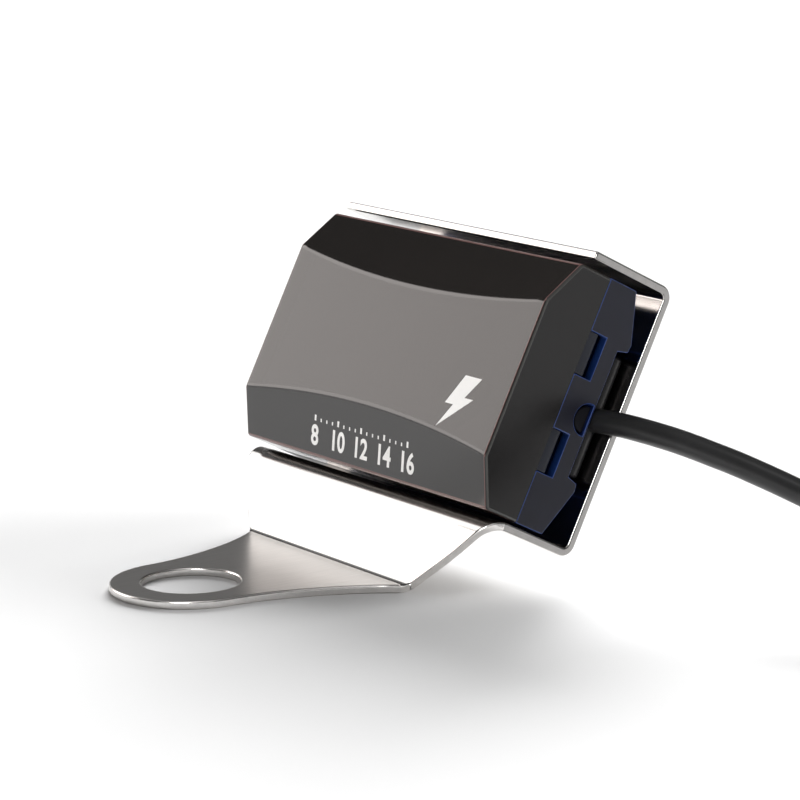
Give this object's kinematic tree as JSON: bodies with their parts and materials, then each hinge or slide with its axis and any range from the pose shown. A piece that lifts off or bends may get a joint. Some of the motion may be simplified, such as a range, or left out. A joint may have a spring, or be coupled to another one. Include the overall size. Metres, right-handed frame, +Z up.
{
  "type": "digital voltmeter",
  "caption": "Small digital voltmeter with a smoked display face, held in a bent stainless bracket whose round-ended tab bolts under a motorcycle mirror stem, with a thin round power lead.",
  "frame": {"origin": "bottom centre of the box round the meter and its bracket, at the height of the tab's underside, leaving out the free lead", "axes": "+X along the meter's width towards the side where the lead comes out, the display faces -Y and tilts back, +Z up along the mirror stem"},
  "size_m": [0.1184, 0.0715, 0.0368],
  "materials": {
    "stainless_sheet": "satin stainless sheet, rounded cut edges",
    "zinc_steel": "zinc plated",
    "brass_insert": "knurled brass",
    "smoked_plastic": "smoked, glossy, fine edge radius",
    "navy_plastic": "semi-gloss dark navy",
    "black_plastic": "fine moulded texture",
    "black_rubber": "matt",
    "cable_jacket": "soft PVC",
    "circuit_board": "solder mask",
    "digit_diffuser": "milky, unlit",
    "ceramic_chip": "bare ceramic",
    "aluminium_can": "drawn can",
    "red_insulation": "soft PVC"
  },
  "bodies": {
    "root": {"bracket": "stainless_sheet", "front_cover": "smoked_plastic", "rear_shell": "navy_plastic", "notch_grommet": "navy_plastic", "seal_gasket": "black_rubber", "rear_block": "black_plastic", "circuit_board": "circuit_board", "microcontroller": "black_plastic", "digit_driver_1": "black_plastic", "digit_driver_2": "black_plastic", "digit_driver_3": "black_plastic", "voltage_regulator": "black_plastic", "input_diode": "black_plastic", "ceramic_capacitor_1": "ceramic_chip", "ceramic_capacitor_2": "ceramic_chip", "divider_resistor_1": "black_plastic", "divider_resistor_2": "black_plastic", "smoothing_capacitor": "aluminium_can", "display_body": "black_plastic", "digit_1": "digit_diffuser", "digit_2": "digit_diffuser", "digit_3": "digit_diffuser", "display_mask": "black_plastic", "board_screw_1": "zinc_steel", "board_screw_2": "zinc_steel", "board_screw_3": "zinc_steel", "board_screw_4": "zinc_steel", "lock_washer_left": "zinc_steel", "lock_washer_right": "zinc_steel", "bracket_screw_left": "zinc_steel", "bracket_screw_right": "zinc_steel", "threaded_insert_left": "brass_insert", "threaded_insert_right": "brass_insert", "inner_wire_red": "red_insulation", "inner_wire_black": "black_plastic", "cable_lead": "cable_jacket", "cable_coil": "cable_jacket", "cable_tail": "cable_jacket", "end_sleeve": "black_rubber", "core_red": "red_insulation", "core_black": "cable_jacket"}
  },
  "joints": []
}
